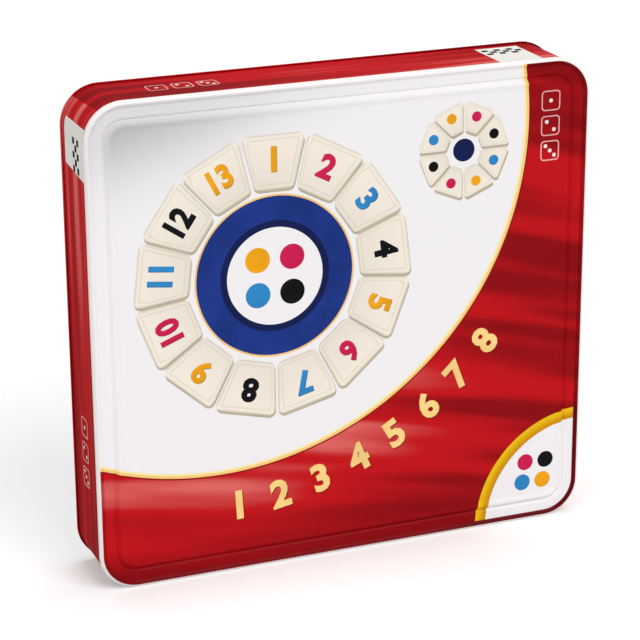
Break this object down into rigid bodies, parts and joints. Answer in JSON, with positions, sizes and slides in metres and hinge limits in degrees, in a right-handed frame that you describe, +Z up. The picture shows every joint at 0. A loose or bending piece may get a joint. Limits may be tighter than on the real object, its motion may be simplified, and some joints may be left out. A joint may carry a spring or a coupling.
{
  "type": "rummy tile case",
  "caption": "Rectangular tin with rounded corners and a full-depth slip lid, holding numbered tiles in stacks, two-tier racks, formed trays and a folded leaflet.",
  "frame": {"origin": "centre of the footprint on the ground, with the tin standing on its long lower edge", "axes": "+X to the right along the tin's width, -Y out of the lid's face, +Z up"},
  "size_m": [0.27, 0.043, 0.254],
  "materials": {
    "lid_print": "gloss printed and varnished tinplate, red with a pale panel",
    "tinplate": "plain lacquered tinplate",
    "insert_plastic": "formed sheet, satin charcoal",
    "rack_plastic": "moulded, satin navy blue",
    "leaflet_paper": "uncoated, folded",
    "tile_ivory": "polished ivory with filled engraved numbers"
  },
  "bodies": {
    "tray": {"rack_trays": "insert_plastic", "rules_leaflet": "leaflet_paper", "tile_black_01": "tile_ivory", "tile_black_02": "tile_ivory", "tile_black_03": "tile_ivory", "tile_black_04": "tile_ivory", "tile_black_05": "tile_ivory", "tile_black_06": "tile_ivory", "tile_black_07": "tile_ivory", "tile_black_08": "tile_ivory", "tile_black_09": "tile_ivory", "tile_black_10": "tile_ivory", "tile_black_11": "tile_ivory", "tile_black_12": "tile_ivory", "tile_black_13": "tile_ivory", "tile_blue_01": "tile_ivory", "tile_blue_02": "tile_ivory", "tile_blue_03": "tile_ivory", "tile_blue_04": "tile_ivory", "tile_blue_05": "tile_ivory", "tile_blue_06": "tile_ivory", "tile_blue_07": "tile_ivory", "tile_blue_08": "tile_ivory", "tile_blue_09": "tile_ivory", "tile_blue_10": "tile_ivory", "tile_blue_11": "tile_ivory", "tile_blue_12": "tile_ivory", "tile_blue_13": "tile_ivory", "tile_joker_black": "tile_ivory", "tile_joker_red": "tile_ivory", "tile_racks": "rack_plastic", "tile_red_01": "tile_ivory", "tile_red_02": "tile_ivory", "tile_red_03": "tile_ivory", "tile_red_04": "tile_ivory", "tile_red_05": "tile_ivory", "tile_red_06": "tile_ivory", "tile_red_07": "tile_ivory", "tile_red_08": "tile_ivory", "tile_red_09": "tile_ivory", "tile_red_10": "tile_ivory", "tile_red_11": "tile_ivory", "tile_red_12": "tile_ivory", "tile_red_13": "tile_ivory", "tile_trays": "insert_plastic", "tile_yellow_01": "tile_ivory", "tile_yellow_02": "tile_ivory", "tile_yellow_03": "tile_ivory", "tile_yellow_04": "tile_ivory", "tile_yellow_05": "tile_ivory", "tile_yellow_06": "tile_ivory", "tile_yellow_07": "tile_ivory", "tile_yellow_08": "tile_ivory", "tile_yellow_09": "tile_ivory", "tile_yellow_10": "tile_ivory", "tile_yellow_11": "tile_ivory", "tile_yellow_12": "tile_ivory", "tile_yellow_13": "tile_ivory", "tray_shell": "tinplate"},
    "lid": {"lid_shell": "lid_print"}
  },
  "joints": [
    {"name": "lid_pull", "type": "slide", "parent": "tray", "child": "lid", "axis": [0, -1, 0], "range_m": [0, 0.12]}
  ]
}
